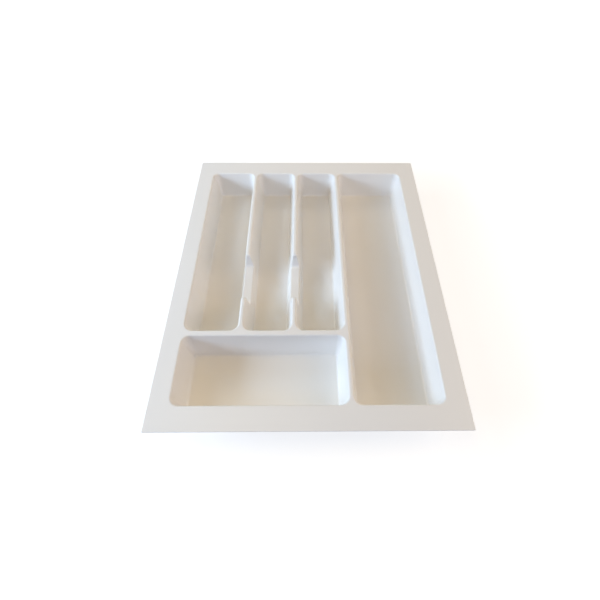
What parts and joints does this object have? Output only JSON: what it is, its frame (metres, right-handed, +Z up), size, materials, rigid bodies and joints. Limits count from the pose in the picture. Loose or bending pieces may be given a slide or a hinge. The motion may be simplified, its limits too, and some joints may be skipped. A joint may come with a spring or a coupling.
{
  "type": "cutlery tray",
  "caption": "Formed plastic drawer insert with drafted wells, hollow dividing ridges with finger notches and a wide flat flange, for sorting cutlery.",
  "frame": {"origin": "under the middle of the flange, at the level that the wells' floors stand on", "axes": "+X across the drawer to the right, +Y to the back of the drawer, +Z up"},
  "size_m": [0.39, 0.49, 0.048],
  "materials": {
    "tray_plastic": "satin white formed plastic sheet"
  },
  "bodies": {
    "root": {"rim_flange": "tray_plastic", "cross_divider": "tray_plastic", "divider_left": "tray_plastic", "divider_middle": "tray_plastic", "divider_right": "tray_plastic", "knife_well": "tray_plastic", "fork_well": "tray_plastic", "spoon_well": "tray_plastic", "utensil_well": "tray_plastic", "front_well": "tray_plastic"}
  },
  "joints": []
}
